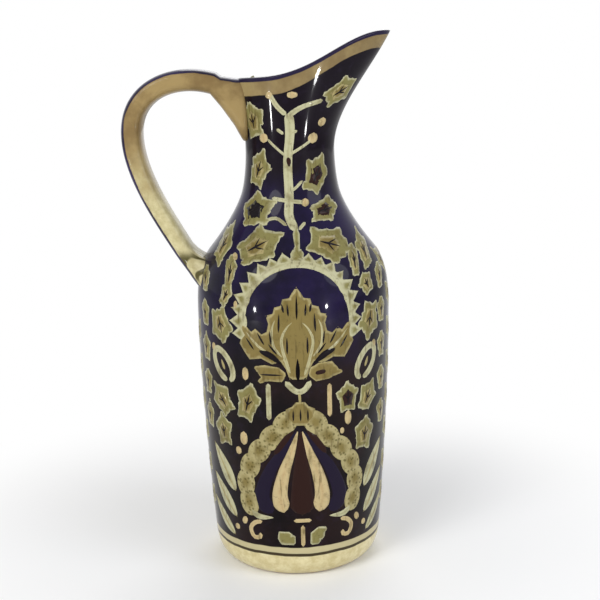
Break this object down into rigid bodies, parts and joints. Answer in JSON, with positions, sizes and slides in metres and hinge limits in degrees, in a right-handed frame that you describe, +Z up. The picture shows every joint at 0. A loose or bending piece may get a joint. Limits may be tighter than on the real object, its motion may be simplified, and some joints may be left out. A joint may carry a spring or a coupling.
{
  "type": "jug vase",
  "caption": "Tall glazed ceramic jug vase with a straight drum body, narrow neck, long pulled spout and a looped strap handle.",
  "frame": {"origin": "centre of the foot's flat underside, on the axis that the body is turned about", "axes": "+Z up, +X the way the spout points, with the handle at -X"},
  "size_m": [0.1513, 0.1112, 0.305],
  "materials": {
    "cobalt_glaze": "deep cobalt underglaze with cream and olive flowers under a clear gloss glaze",
    "cream_glaze": "warm cream slip with olive wash under a clear gloss glaze"
  },
  "bodies": {
    "root": {"foot": "cream_glaze", "drum": "cobalt_glaze", "shoulder": "cobalt_glaze", "neck_and_spout": "cobalt_glaze", "handle_strap": "cream_glaze", "handle_upper_wad": "cream_glaze", "handle_lower_wad": "cream_glaze"}
  },
  "joints": []
}
